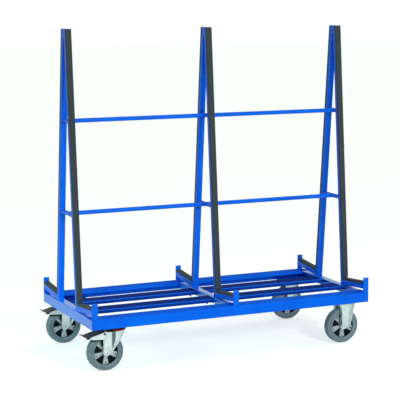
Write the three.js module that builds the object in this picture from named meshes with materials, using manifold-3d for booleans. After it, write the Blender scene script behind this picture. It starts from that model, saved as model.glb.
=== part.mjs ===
// Double-sided sheet goods cart: a folded-steel base on two swivel and two fixed casters carries three
// A-shaped lean frames with rubber pads. Sheets stand on the padded soles and lean against the legs.
// Millimetres, +Z up, X along the length, Y across. The floor is at Z = 0.
import * as THREE from "three";
import { mergeVertices } from "three/addons/utils/BufferGeometryUtils.js";
import Module from "manifold-3d";

const wasm = await Module();
wasm.setup();

// Fits
const seam = 0.3; // clearance between pieces that are welded, bolted or glued together
const running = 0.3; // radial clearance of a turning piece on its pin
const bite = 1; // how far the forms that make up one piece reach into each other
const overcut = 1; // how far a cut reaches past the face that it opens

// Base frame
const frameLength = 1750;
const frameDepth = 820;
const railHeight = 58;
const railDrop = 3; // lower edge of the rails below the casters' top plates
const railWall = 4;
const longFlangeWidth = 90; // top flange of the front and rear rails
const railLipHeight = 12; // lip folded down along the inner edge of that flange
const endFlangeWidth = 48; // top flange of the end rails
const crossmemberWidth = 45;
const slatWidth = 100;
const slatHeight = 22;
const slatWall = 3;
const slatOffset = 118; // middle of each slat from the cart's centre plane

// Lean frames
const overallHeight = 1869;
const leanAngle = THREE.MathUtils.degToRad(5.08); // lean of the legs from upright
const apexGap = 5.2; // between the two legs of a frame at the top
const apexBlockHeight = 50;
const legWidth = 34;
const legDepth = 23;
const legWall = 2.5;
const legCapThickness = 3;
const legPadThickness = 16;
const solePadThickness = 13.5;
const padChamfer = 4;
const soleHeight = 30;
const soleLift = 1.5; // underside of the sole above the rail at its root
const padClearance = 2; // lean pad above the sole pad
const stopThickness = 8;
const stopHeight = 89; // upright stop above the rail

// Braces between the lean frames
const braceDiameter = 25;
const upperBraceLevel = 1357;
const lowerBraceLevel = 833;

// Wheels
const wheelDiameter = 208;
const tyreWidth = 50;
const tyreShoulder = 7; // chamfer from the tread to the side of the tyre
const wheelSides = 32; // flats round the tread, the rim and the web
const hubSides = 24;
const rimDiameter = 146;
const rimThickness = 9;
const rimWidth = 38;
const hubDiameter = 46;
const hubLength = 58;
const spokeCount = 5;
const spokeWidth = 22;
const spokeThickness = 22;
const webThickness = 8; // disc behind the spokes
const axleDiameter = 12;
const axleHeadDiameter = 22;
const axleHeadHeight = 8;

// Casters
const casterInset = 68; // middle of each caster from the front or rear face of the base
const swivelInset = 159; // kingpin from the left end of the base
const fixedInset = 127.5; // middle of the fixed caster's top plate from the right end
const casterTrail = 62; // axle behind the kingpin
const fixedTrail = 18.5; // axle beside the middle of the fixed caster's top plate
const topPlateLength = 140;
const topPlateWidth = 110;
const topPlateThickness = 6;
const cornerPlateThickness = 6;
const cornerPlateMargin = 10; // corner plate beyond the caster's top plate
const boltSpacingX = 120;
const boltSpacingY = 80;
const boltDiameter = 10;
const boltHeadDiameter = 18;
const boltHeadHeight = 6.5;
const nutHeight = 8;
const boltTail = 4; // thread showing above the nut
const kingpinDiameter = 20;
const kingpinNutDiameter = 32;
const kingpinNutHeight = 12;
const bearingDiameter = 110;
const bearingHeight = 15;
const crownDiameter = 114;
const crownThickness = 10;
const crownSides = 36; // flats round the crown
const crownClearance = 14; // crown above the tyre
const forkWall = 5;
const hubSideClearance = 1; // fork cheek beside the hub
const axleLugRadius = 20;
const footTurn = THREE.MathUtils.degToRad(30); // where the fork's round foot ends, below the axle
const forkRibWidth = 46; // pressed rib down the face of the swivel fork
const forkRibLead = 16; // front edge of the rib ahead of the axle
const forkRibHeight = 3;
const swivelFlangeWidth = 12; // flange turned out along the rear edge of the swivel fork
const fixedFlangeWidth = 17; // flanges turned out along both edges of the fixed fork
const flangeThickness = 4;
const forkShoulderDrop = 17; // rear corner of the swivel fork below the crown's top
const forkRearReach = 43; // swivel fork beyond the kingpin
const fixedTopLead = 30; // fixed fork ahead of the axle at the top plate
const fixedTopTail = 67; // and behind it
const fixedWaistLead = 21; // the same at the fork's waist
const fixedWaistTail = 49;
const fixedWaistRise = 70; // waist above the axle
const fixedFootTail = 36; // rear edge of the fork beside the axle
const fixedFootRise = 8;

// Brake pedals
const pedalPinDiameter = 8;
const pedalPinHeadDiameter = 13;
const pedalPinHeadHeight = 2.5;
const pedalPinLead = 14; // pin ahead of the axle
const pedalPinRise = 4.5; // pin above the tyre
const pedalLugRadius = 8;
const pedalLugTurn = THREE.MathUtils.degToRad(45); // where the fork's round lug starts, above the pin
const pedalWidth = 85;
const pedalThickness = 6;
const pedalLength = 100; // from the pin to the bend at the front of the tread
const pedalSlope = THREE.MathUtils.degToRad(15.5);
const pedalHeadReach = 6; // tread behind the pin
const pedalLugClearance = 1.5; // underside of the tread above the fork's lug
const tongueLength = 29;
const tongueSlope = THREE.MathUtils.degToRad(27);
const tongueThickness = 3.5;
const cheekThickness = 3;
const cheekClearance = 1;
const cheekDepth = 31; // lowest point of the cheek below the pin
const cheekFrontReach = 86;
const cheekRearReach = 26;
const cheekEndDepth = 12;
const shoeWidth = 34;
const shoeLength = 22;
const shoeLead = 20; // rear edge of the brake shoe ahead of the pin
const shoeDrop = 3.5; // underside of the shoe below the pin

// Levels and places worked out from the sizes above
const axleLevel = wheelDiameter / 2;
const crownBottom = wheelDiameter + crownClearance;
const crownTop = crownBottom + crownThickness;
const topPlateBottom = crownTop + seam + bearingHeight + seam;
const topPlateTop = topPlateBottom + topPlateThickness;
const cornerPlateBottom = topPlateTop + seam;
const cornerPlateTop = cornerPlateBottom + cornerPlateThickness;
const railBottom = topPlateBottom - railDrop;
const railTop = railBottom + railHeight;
const flangeBottom = railTop - railWall;
const halfLength = frameLength / 2;
const halfDepth = frameDepth / 2;
const webInside = halfDepth - railWall; // inner face of the front and rear rails
const endInside = halfLength - railWall; // inner face of the end rails
const flangeEdge = halfDepth - longFlangeWidth; // inner edge of the front and rear flanges
const frameStations = { left: -halfLength + legWidth / 2, centre: 0, right: halfLength - legWidth / 2 };
const leanRate = Math.tan(leanAngle); // how far a leg moves out for each millimetre down
const legInside = apexGap / 2; // the legs' faces at the top of the frame
const legOutside = legInside + legDepth;
const padInside = legOutside + seam;
const padOutside = padInside + legPadThickness;
const casterLine = halfDepth - casterInset;
const swivelStation = -halfLength + swivelInset;
const fixedStation = halfLength - fixedInset;
const cheekInside = hubLength / 2 + hubSideClearance; // fork cheeks, from the wheel's middle plane
const cheekOutside = cheekInside + forkWall;
const pedalPinLevel = wheelDiameter + pedalPinRise;

// Finishes
const finish = (color, roughness, metalness) => () =>
  new THREE.MeshStandardMaterial({ color, roughness, metalness });
const bluePaint = finish(0x0561f2, 0.45, 0.1);
const padRubber = finish(0x364549, 0.85, 0);
const tyreRubber = finish(0x647a80, 0.8, 0);
const zincSteel = finish(0xc4d2d2, 0.4, 0.8);
const castAluminium = finish(0xb4c0c4, 0.45, 0.7);
const redSeal = finish(0x8a1030, 0.6, 0);
const blackPlastic = finish(0x1d2a2e, 0.6, 0);

// Outlines and solids
const arcSteps = 6; // steps in a round hole or lug
const barSides = 16; // flats round a bar or an axle
const pinSides = 14; // and round a bolt or a pin
const kingpinSides = 20;
const hexSides = 6;
const outline = (points) => new THREE.Shape(points.map(([a, b]) => new THREE.Vector2(a, b)));

const extrude = (shape, depth, curveSegments) =>
  new THREE.ExtrudeGeometry(shape, { depth, bevelEnabled: false, curveSegments });

// Outline in (y, z), carried along X.
const alongX = (shape, fromX, toX) => {
  const turn = new THREE.Matrix4().makeBasis(
    new THREE.Vector3(0, 1, 0), new THREE.Vector3(0, 0, 1), new THREE.Vector3(1, 0, 0));
  return extrude(shape, toX - fromX, arcSteps).applyMatrix4(turn).translate(fromX, 0, 0);
};

// Outline in (x, z), carried along Y.
const alongY = (shape, fromY, toY) => {
  const turn = new THREE.Matrix4().makeBasis(
    new THREE.Vector3(1, 0, 0), new THREE.Vector3(0, 0, 1), new THREE.Vector3(0, -1, 0));
  return extrude(shape, toY - fromY, arcSteps).applyMatrix4(turn).translate(0, toY, 0);
};

// Outline in (x, y), carried up Z.
const alongZ = (shape, fromZ, toZ) => extrude(shape, toZ - fromZ, arcSteps).translate(0, 0, fromZ);

const block = (fromX, toX, fromY, toY, fromZ, toZ) =>
  new THREE.BoxGeometry(toX - fromX, toY - fromY, toZ - fromZ)
    .translate((fromX + toX) / 2, (fromY + toY) / 2, (fromZ + toZ) / 2);

const upright = (radius, fromZ, toZ, sides) =>
  new THREE.CylinderGeometry(radius, radius, toZ - fromZ, sides)
    .rotateX(Math.PI / 2)
    .translate(0, 0, (fromZ + toZ) / 2);

const across = (radius, fromY, toY, sides) =>
  new THREE.CylinderGeometry(radius, radius, toY - fromY, sides).translate(0, (fromY + toY) / 2, 0);

const hole = (x, y, radius) => new THREE.Path().absarc(x, y, radius, 0, 2 * Math.PI, true);

const toSolid = (geometry) => {
  const bare = geometry.clone();
  bare.deleteAttribute("normal");
  bare.deleteAttribute("uv");
  const merged = mergeVertices(bare);
  const vertProperties = merged.attributes.position.array;
  const triVerts = Uint32Array.from(merged.index.array);
  return new wasm.Manifold(new wasm.Mesh({ numProp: 3, vertProperties, triVerts }));
};

const toGeometry = (solid) => {
  const { vertProperties, triVerts } = solid.getMesh();
  const geometry = new THREE.BufferGeometry();
  geometry.setAttribute("position", new THREE.BufferAttribute(vertProperties, 3));
  geometry.setIndex(new THREE.BufferAttribute(triVerts, 1));
  geometry.computeVertexNormals();
  return geometry;
};

const join = (...geometries) => toGeometry(geometries.map(toSolid).reduce((whole, next) => whole.add(next)));

const cut = (geometry, ...tools) =>
  toGeometry(tools.map(toSolid).reduce((rest, tool) => rest.subtract(tool), toSolid(geometry)));

const piece = (name, geometry, material) => {
  const mesh = new THREE.Mesh(geometry, material());
  mesh.name = name;
  return mesh;
};

const cart = new THREE.Group();

// Front and rear rails: an outer web, a wide top flange and a lip folded down at its inner edge. The lip
// stops short of the end rails.
const longRail = () => {
  const web = block(-halfLength, halfLength, webInside, halfDepth, railBottom, railTop);
  const flange = block(-halfLength, halfLength, flangeEdge, halfDepth, flangeBottom, railTop);
  const lipReach = endInside - seam;
  const lip = block(-lipReach, lipReach, flangeEdge, flangeEdge + railWall,
    flangeBottom - railLipHeight, railTop);
  return join(web, flange, lip);
};

for (const [side, turn] of [["front", Math.PI], ["rear", 0]]) {
  const rail = piece(`${side}_rail`, longRail(), bluePaint);
  rail.rotation.z = turn;
  cart.add(rail);
}

// End rails: a web between the long rails, notched under their flanges, and a top flange between them.
const endRail = () => {
  const webReach = webInside - seam;
  const flangeReach = flangeEdge - seam;
  const notchTop = flangeBottom - seam;
  const web = outline([
    [-webReach, railBottom], [webReach, railBottom], [webReach, notchTop], [flangeReach, notchTop],
    [flangeReach, railTop], [-flangeReach, railTop], [-flangeReach, notchTop], [-webReach, notchTop],
  ]);
  const flange = block(halfLength - endFlangeWidth, halfLength, -flangeReach, flangeReach,
    flangeBottom, railTop);
  return join(alongX(web, endInside, halfLength), flange);
};

for (const [end, turn] of [["left", Math.PI], ["right", 0]]) {
  const rail = piece(`${end}_end_rail`, endRail(), bluePaint);
  rail.rotation.z = turn;
  cart.add(rail);
}

// Inner slats: shallow channels open below, tucked under the flanges of the end rails.
const slatTop = flangeBottom - seam;
const slatSection = outline([
  [-slatWidth / 2, slatTop - slatHeight],
  [-slatWidth / 2 + slatWall, slatTop - slatHeight],
  [-slatWidth / 2 + slatWall, slatTop - slatWall],
  [slatWidth / 2 - slatWall, slatTop - slatWall],
  [slatWidth / 2 - slatWall, slatTop - slatHeight],
  [slatWidth / 2, slatTop - slatHeight],
  [slatWidth / 2, slatTop],
  [-slatWidth / 2, slatTop],
]);

for (const [side, way] of [["front", -1], ["rear", 1]]) {
  const slat = piece(`${side}_slat`, alongX(slatSection, -endInside + seam, endInside - seam), bluePaint);
  slat.position.y = way * slatOffset;
  cart.add(slat);
}

// Centre crossmember: a channel open below, with its webs cut away where the slats pass.
const crossmember = () => {
  const reach = flangeEdge - seam;
  const half = crossmemberWidth / 2;
  const body = alongY(outline([
    [-half, railBottom], [-half + railWall, railBottom], [-half + railWall, flangeBottom],
    [half - railWall, flangeBottom], [half - railWall, railBottom], [half, railBottom],
    [half, railTop], [-half, railTop],
  ]), -reach, reach);
  const notch = (way) => {
    const middle = way * slatOffset;
    const room = slatWidth / 2 + seam;
    return block(-half - overcut, half + overcut, middle - room, middle + room,
      railBottom - overcut, flangeBottom);
  };
  return cut(body, notch(-1), notch(1));
};

cart.add(piece("centre_crossmember", crossmember(), bluePaint));

// Corner plates under the base, between the webs of the long and end rails, drilled for the caster bolts.
const boltPlaces = [-1, 1].flatMap((a) =>
  [-1, 1].map((b) => [(a * boltSpacingX) / 2, (b * boltSpacingY) / 2]));

const cornerPlate = (station) => {
  const end = Math.sign(station);
  const near = end * (Math.abs(station) - topPlateLength / 2 - cornerPlateMargin);
  const far = end * (endInside - seam);
  const low = Math.min(near, far);
  const high = Math.max(near, far);
  const inner = casterLine - topPlateWidth / 2 - cornerPlateMargin;
  const outer = webInside - seam;
  const shape = outline([[low, inner], [high, inner], [high, outer], [low, outer]]);
  for (const [x, y] of boltPlaces) {
    shape.holes.push(hole(station + x, casterLine + y, boltDiameter / 2 + seam));
  }
  return alongZ(shape, cornerPlateBottom, cornerPlateTop);
};

for (const [end, station] of [["left", swivelStation], ["right", fixedStation]]) {
  cart.add(piece(`corner_plate_rear_${end}`, cornerPlate(station), bluePaint));
  const front = piece(`corner_plate_front_${end}`, cornerPlate(-station), bluePaint);
  front.rotation.z = Math.PI;
  cart.add(front);
}

// Lean frames. Each side is drawn leaning on +Y, upright at first, and then sheared by the lean.
const lean = new THREE.Matrix4().set(
  1, 0, 0, 0,
  0, 1, -leanRate, leanRate * overallHeight,
  0, 0, 1, 0,
  0, 0, 0, 1);
const outAt = (level) => leanRate * (overallHeight - level); // how far the lean has moved out at a level

const leg = (withApexBlock) => {
  const half = legWidth / 2;
  const foot = railTop + seam;
  const tube = block(-half, half, legInside, legOutside, foot, overallHeight);
  const room = block(-half + legWall, half - legWall, legInside + legWall, legOutside - legWall,
    foot - overcut, overallHeight - legCapThickness);
  const leaning = cut(tube, room).applyMatrix4(lean);
  if (!withApexBlock) {
    return leaning;
  }
  const blockFoot = overallHeight - apexBlockHeight;
  const between = outline([
    [-legInside - outAt(blockFoot) + seam, blockFoot],
    [legInside + outAt(blockFoot) + bite, blockFoot],
    [legInside + bite, overallHeight],
    [-legInside + seam, overallHeight],
  ]);
  return join(leaning, alongX(between, -half, half));
};

// Sole and stop: the sole stands square to the leg and ends in an upright stop on the rail's outer edge.
const soleRootLevel = railTop + soleLift;
const soleRoot = legOutside + outAt(soleRootLevel); // the leg's outer face there
const soleStart = soleRoot + seam / Math.cos(leanAngle);
const soleEnd = halfDepth - stopThickness;
const soleLine = (height) => (y) =>
  soleRootLevel + height / Math.cos(leanAngle) + (y - soleRoot) * leanRate;
const rootAt = (height) => soleStart - height * Math.sin(leanAngle);

const sole = () => {
  const under = soleLine(0);
  const over = soleLine(soleHeight);
  const stopFoot = railTop + seam;
  const stopTop = railTop + stopHeight;
  const shape = outline([
    [rootAt(0), under(rootAt(0))],
    [soleEnd, under(soleEnd)],
    [soleEnd, stopFoot],
    [halfDepth, stopFoot],
    [halfDepth, stopTop],
    [soleEnd, stopTop],
    [soleEnd, over(soleEnd)],
    [rootAt(soleHeight), over(rootAt(soleHeight))],
  ]);
  return alongX(shape, -legWidth / 2, legWidth / 2);
};

// Rubber section: flat on its back, with its two outer edges chamfered.
const padSection = (from, to) => outline([
  [-legWidth / 2, from], [legWidth / 2, from], [legWidth / 2, to - padChamfer],
  [legWidth / 2 - padChamfer, to], [-legWidth / 2 + padChamfer, to], [-legWidth / 2, to - padChamfer],
]);

const solePadTop = soleLine(soleHeight + seam + solePadThickness);
const legPad = () => {
  const foot = solePadTop(soleRoot + seam + legPadThickness) + padClearance;
  return alongZ(padSection(padInside, padOutside), foot, overallHeight).applyMatrix4(lean);
};

const solePad = () => {
  const start = rootAt(soleHeight) / Math.cos(leanAngle);
  const run = (soleEnd - seam) / Math.cos(leanAngle) - start - solePadThickness * leanRate;
  return alongY(padSection(seam, seam + solePadThickness), 0, run)
    .rotateX(leanAngle)
    .translate(0, rootAt(soleHeight), soleLine(soleHeight)(rootAt(soleHeight)));
};

for (const [place, station] of Object.entries(frameStations)) {
  for (const [side, turn] of [["front", Math.PI], ["rear", 0]]) {
    const half = new THREE.Group();
    half.position.x = station;
    half.rotation.z = turn;
    half.add(piece(`leg_${place}_${side}`, leg(side === "rear"), bluePaint));
    half.add(piece(`leg_pad_${place}_${side}`, legPad(), padRubber));
    half.add(piece(`sole_${place}_${side}`, sole(), bluePaint));
    half.add(piece(`sole_pad_${place}_${side}`, solePad(), padRubber));
    cart.add(half);
  }
}

// Braces: a round bar along the cart with a cross tie to the two legs of each frame.
const tie = (level) => {
  const geometry = across(braceDiameter / 2, -1, 1, barSides).translate(0, 0, level);
  const points = geometry.attributes.position;
  for (let i = 0; i < points.count; i += 1) {
    const reach = legInside + outAt(points.getZ(i)) - seam;
    points.setY(i, Math.sign(points.getY(i)) * reach);
  }
  return geometry;
};

const brace = (level) => {
  const stations = Object.values(frameStations);
  const bar = across(braceDiameter / 2, stations[0], stations[2], barSides)
    .rotateZ(-Math.PI / 2)
    .translate(0, 0, level);
  return join(bar, ...stations.map((station) => tie(level).translate(station, 0, 0)));
};

cart.add(piece("upper_brace", brace(upperBraceLevel), bluePaint));
cart.add(piece("lower_brace", brace(lowerBraceLevel), bluePaint));

// Ring of a closed section, given as [radius, y] pairs, about the Y axis.
const ring = (section, sides, start) => {
  const points = [...section, section[0]].map(([radius, y]) => new THREE.Vector2(radius, y));
  return new THREE.LatheGeometry(points, sides, start);
};

// Wheel centre: a rim and a hub joined by a web with spokes on both faces, one of them straight down.
const wheelCentre = () => {
  const rimOuter = rimDiameter / 2;
  const rimInner = rimOuter - rimThickness;
  const rim = ring([
    [rimInner, -rimWidth / 2], [rimOuter, -rimWidth / 2],
    [rimOuter, rimWidth / 2], [rimInner, rimWidth / 2],
  ], wheelSides, Math.PI / wheelSides);
  const bore = axleDiameter / 2 + running;
  const hub = ring([
    [bore, -hubLength / 2], [hubDiameter / 2, -hubLength / 2],
    [hubDiameter / 2, hubLength / 2], [bore, hubLength / 2],
  ], hubSides, 0);
  const spokeRoot = (bore + hubDiameter / 2) / 2;
  const spokeTip = rimInner + rimThickness / 2;
  const web = ring([
    [spokeRoot, -webThickness / 2], [spokeTip, -webThickness / 2],
    [spokeTip, webThickness / 2], [spokeRoot, webThickness / 2],
  ], wheelSides, Math.PI / wheelSides);
  const spokes = [];
  for (let i = 0; i < spokeCount; i += 1) {
    const spoke = block(-spokeWidth / 2, spokeWidth / 2, -spokeThickness / 2, spokeThickness / 2,
      -spokeTip, -spokeRoot);
    spokes.push(spoke.rotateY((2 * Math.PI * i) / spokeCount));
  }
  return join(rim, hub, web, ...spokes);
};

// Tyre: a flat tread with chamfered shoulders. A flat of the tread rests on the floor.
const tyre = () => {
  const inner = rimDiameter / 2 + seam;
  const treadRadius = wheelDiameter / 2 / Math.cos(Math.PI / wheelSides);
  const half = tyreWidth / 2;
  return ring([
    [inner, -rimWidth / 2], [treadRadius - tyreShoulder, -half], [treadRadius, -half + tyreShoulder],
    [treadRadius, half - tyreShoulder], [treadRadius - tyreShoulder, half], [inner, rimWidth / 2],
  ], wheelSides, Math.PI / wheelSides);
};

// Axle bolt through both fork cheeks, with a head at one end and a nut at the other.
const axle = (gripOutside) => {
  const end = gripOutside + seam;
  const shank = across(axleDiameter / 2, -end - axleHeadHeight / 2, end + axleHeadHeight / 2, barSides);
  const head = across(axleHeadDiameter / 2, -end - axleHeadHeight, -end, hexSides);
  const nut = across(axleHeadDiameter / 2, end, end + axleHeadHeight, hexSides);
  return join(shank, head, nut);
};

// Top plate with its four bolts up through the corner plate.
const topPlate = () => {
  const plate = block(-topPlateLength / 2, topPlateLength / 2, -topPlateWidth / 2, topPlateWidth / 2,
    topPlateBottom, topPlateTop);
  const headBottom = topPlateBottom - boltHeadHeight;
  const nutBottom = cornerPlateTop + seam;
  const nutTop = nutBottom + nutHeight;
  const bolts = boltPlaces.flatMap(([x, y]) => {
    const shank = upright(boltDiameter / 2, headBottom + bite, nutTop + boltTail, pinSides);
    const head = upright(boltHeadDiameter / 2, headBottom, topPlateBottom + bite, hexSides);
    const nut = upright(boltHeadDiameter / 2, nutBottom, nutTop, hexSides);
    return [shank, head, nut].map((geometry) => geometry.translate(x, y, 0));
  });
  return join(plate, ...bolts);
};

// Swivel caster, drawn about its kingpin, with the axle behind it on -X.
const swivelTopPlate = () => {
  const nutTop = crownBottom - seam;
  const nutBottom = nutTop - kingpinNutHeight;
  const pin = upright(kingpinDiameter / 2, nutBottom + bite, topPlateBottom + bite, kingpinSides);
  const nut = upright(kingpinNutDiameter / 2, nutBottom, nutTop, hexSides);
  return join(topPlate(), pin, nut);
};

const swivelBearing = () => {
  const shape = new THREE.Shape().absarc(0, 0, bearingDiameter / 2, 0, 2 * Math.PI, false);
  shape.holes.push(hole(0, 0, kingpinDiameter / 2 + running));
  return extrude(shape, bearingHeight, 2 * arcSteps).translate(0, 0, crownTop + seam);
};

// Section of a flange lying inside the edge that runs through the given points, with the fork on its left.
const edgeBand = (edge) => {
  const points = edge.map(([x, z]) => new THREE.Vector2(x, z));
  const normals = points.slice(1).map((point, i) => {
    const along = point.clone().sub(points[i]).normalize();
    return new THREE.Vector2(-along.y, along.x);
  });
  const inner = points.map((point, i) => {
    const before = normals[Math.max(i - 1, 0)];
    const after = normals[Math.min(i, normals.length - 1)];
    const mitre = before.clone().add(after).multiplyScalar(flangeThickness / (1 + before.dot(after)));
    return point.clone().add(mitre);
  });
  return new THREE.Shape([...points, ...inner.reverse()]);
};

const onBothSides = (make, from, to) => [make(from, to), make(-to, -from)];

const swivelFork = () => {
  const axleX = -casterTrail;
  const pinX = axleX - pedalPinLead;
  const crownFront = -crownDiameter / 2;
  const lugCorner = pedalPinLevel + pedalLugRadius * Math.sin(pedalLugTurn);
  const rearShoulder = [forkRearReach, crownTop - forkShoulderDrop];
  const rearFoot = [
    axleX + axleLugRadius * Math.cos(footTurn),
    axleLevel - axleLugRadius * Math.sin(footTurn),
  ];
  const cheek = new THREE.Shape();
  cheek.moveTo(axleX - axleLugRadius, axleLevel);
  cheek.absarc(axleX, axleLevel, axleLugRadius, Math.PI, 2 * Math.PI - footTurn, false);
  cheek.lineTo(...rearShoulder);
  cheek.lineTo(forkRearReach, crownTop);
  cheek.lineTo(crownFront, crownTop);
  cheek.lineTo(crownFront, lugCorner);
  cheek.absarc(pinX, pedalPinLevel, pedalLugRadius, pedalLugTurn, Math.PI, false);
  cheek.lineTo(axleX - axleLugRadius, pedalPinLevel - pedalLugRadius);
  cheek.holes.push(hole(axleX, axleLevel, axleDiameter / 2 + seam));
  cheek.holes.push(hole(pinX, pedalPinLevel, pedalPinDiameter / 2 + running));
  const cheeks = onBothSides((from, to) => alongY(cheek, from, to), cheekInside, cheekOutside);
  const ribFront = axleX - forkRibLead;
  const ribRear = ribFront + forkRibWidth;
  const ribFoot = axleLevel + axleLugRadius;
  const ribShape = outline([
    [ribFront, ribFoot], [axleX + forkRibLead, ribFoot], [ribRear, ribFoot + forkRibWidth / 2],
    [ribRear, crownBottom], [crownFront, crownBottom], [crownFront, pedalPinLevel - pedalLugRadius],
    [ribFront, pedalPinLevel - pedalLugRadius],
  ]);
  const ribs = onBothSides((from, to) => alongY(ribShape, from, to),
    cheekOutside - bite, cheekOutside + forkRibHeight);
  const band = edgeBand([rearFoot, rearShoulder]);
  const flanges = onBothSides((from, to) => alongY(band, from, to),
    cheekOutside - bite, cheekOutside + swivelFlangeWidth);
  const crown = upright(crownDiameter / 2, crownBottom, crownTop, crownSides);
  const bridge = block(crownFront, forkRearReach, -cheekInside - bite, cheekInside + bite,
    crownTop - forkWall, crownTop);
  const kingpinHole = upright(kingpinDiameter / 2 + running, crownBottom - overcut, crownTop + overcut,
    kingpinSides);
  return cut(join(...cheeks, ...ribs, ...flanges, crown, bridge), kingpinHole);
};

// Brake pedal, drawn about its pin and then moved onto it: a sloping tread with an upturned tongue, two
// cheeks outside the fork, the pin through both and a shoe above the tyre.
const brakePedal = () => {
  const cheekFrom = cheekOutside + forkRibHeight + cheekClearance;
  const cheekTo = cheekFrom + cheekThickness;
  const treadUnder = pedalLugRadius + pedalLugClearance;
  const slope = new THREE.Vector2(Math.cos(pedalSlope), Math.sin(pedalSlope));
  const over = new THREE.Vector2(-slope.y, slope.x);
  const onTread = (along, height) => [
    slope.x * along + over.x * (treadUnder + height),
    slope.y * along + over.y * (treadUnder + height),
  ];
  const bendUnder = onTread(-pedalLength, 0);
  const bendOver = onTread(-pedalLength + tongueThickness, pedalThickness);
  const tongue = [-tongueLength * Math.cos(tongueSlope), tongueLength * Math.sin(tongueSlope)];
  const tongueOver = [tongueThickness * Math.sin(tongueSlope), tongueThickness * Math.cos(tongueSlope)];
  const tread = outline([
    bendUnder,
    onTread(pedalHeadReach, 0),
    onTread(pedalHeadReach, pedalThickness),
    bendOver,
    [bendUnder[0] + tongueOver[0], bendUnder[1] + tongueOver[1] + tongueThickness],
    [bendUnder[0] + tongue[0] + tongueOver[0], bendUnder[1] + tongue[1] + tongueOver[1]],
    [bendUnder[0] + tongue[0], bendUnder[1] + tongue[1]],
  ]);
  const cheek = outline([
    onTread(-cheekFrontReach, bite),
    [-cheekFrontReach, onTread(-cheekFrontReach, 0)[1] - cheekEndDepth],
    [-pedalLugRadius, -cheekDepth],
    [cheekRearReach, -pedalLugRadius / 2],
    [cheekRearReach, treadUnder + pedalThickness],
    onTread(pedalHeadReach, pedalThickness - bite),
  ]);
  const cheeks = onBothSides((from, to) => alongY(cheek, from, to), cheekFrom, cheekTo);
  const pin = across(pedalPinDiameter / 2, -cheekTo - bite, cheekTo + bite, pinSides);
  const heads = onBothSides((from, to) => across(pedalPinHeadDiameter / 2, from, to, pinSides),
    cheekTo - bite, cheekTo + pedalPinHeadHeight);
  const shoe = alongY(outline([
    [-shoeLead - shoeLength, -shoeDrop],
    [-shoeLead, -shoeDrop],
    onTread(-shoeLead, bite),
    onTread(-shoeLead - shoeLength, bite),
  ]), -shoeWidth / 2, shoeWidth / 2);
  return join(alongY(tread, -pedalWidth / 2, pedalWidth / 2), ...cheeks, pin, ...heads, shoe)
    .translate(-casterTrail - pedalPinLead, 0, pedalPinLevel);
};

const rollingWheel = (place, axleX) => {
  const wheel = new THREE.Group();
  wheel.position.set(axleX, 0, axleLevel);
  wheel.add(piece(`wheel_${place}`, wheelCentre(), castAluminium));
  wheel.add(piece(`tyre_${place}`, tyre(), tyreRubber));
  return wheel;
};

const axleAt = (place, axleX, grip) => {
  const bolt = piece(`axle_${place}`, axle(grip), zincSteel);
  bolt.position.set(axleX, 0, axleLevel);
  return bolt;
};

const swivelCaster = (place) => {
  const caster = new THREE.Group();
  caster.add(piece(`top_plate_${place}`, swivelTopPlate(), zincSteel));
  caster.add(piece(`swivel_bearing_${place}`, swivelBearing(), redSeal));
  caster.add(piece(`swivel_fork_${place}`, swivelFork(), zincSteel));
  caster.add(axleAt(place, -casterTrail, cheekOutside));
  caster.add(rollingWheel(place, -casterTrail));
  caster.add(piece(`brake_pedal_${place}`, brakePedal(), blackPlastic));
  return caster;
};

// Fixed caster, drawn about the middle of its top plate.
const fixedFork = () => {
  const axleX = -fixedTrail;
  const top = topPlateBottom + topPlateThickness / 2;
  const frontTop = [axleX - fixedTopLead, top];
  const frontWaist = [axleX - fixedWaistLead, axleLevel + fixedWaistRise];
  const frontFoot = [axleX - axleLugRadius, axleLevel];
  const rearTop = [axleX + fixedTopTail, top];
  const rearWaist = [axleX + fixedWaistTail, axleLevel + fixedWaistRise];
  const rearFoot = [axleX + fixedFootTail, axleLevel + fixedFootRise];
  const cheek = new THREE.Shape();
  cheek.moveTo(...frontFoot);
  cheek.absarc(axleX, axleLevel, axleLugRadius, Math.PI, 2 * Math.PI - footTurn, false);
  [rearFoot, rearWaist, rearTop, frontTop, frontWaist].forEach((point) => cheek.lineTo(...point));
  cheek.holes.push(hole(axleX, axleLevel, axleDiameter / 2 + seam));
  const cheeks = onBothSides((from, to) => alongY(cheek, from, to), cheekInside, cheekOutside);
  const bands = [edgeBand([rearFoot, rearWaist, rearTop]), edgeBand([frontTop, frontWaist, frontFoot])];
  const flanges = bands.flatMap((band) =>
    onBothSides((from, to) => alongY(band, from, to), cheekOutside - bite, cheekOutside + fixedFlangeWidth));
  return join(topPlate(), ...cheeks, ...flanges);
};

const fixedCaster = (place) => {
  const caster = new THREE.Group();
  caster.add(piece(`fixed_fork_${place}`, fixedFork(), zincSteel));
  caster.add(axleAt(place, -fixedTrail, cheekOutside));
  caster.add(rollingWheel(place, -fixedTrail));
  return caster;
};

for (const [side, way] of [["front", -1], ["rear", 1]]) {
  const left = swivelCaster(`${side}_left`);
  left.position.set(swivelStation, way * casterLine, 0);
  const right = fixedCaster(`${side}_right`);
  right.position.set(fixedStation, way * casterLine, 0);
  cart.add(left, right);
}

// The pedals stand out past the left end, so the cart is centred on its whole length.
const reach = new THREE.Box3().setFromObject(cart, true);
cart.position.x = -(reach.min.x + reach.max.x) / 2;

export default cart;
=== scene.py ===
import math

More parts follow.
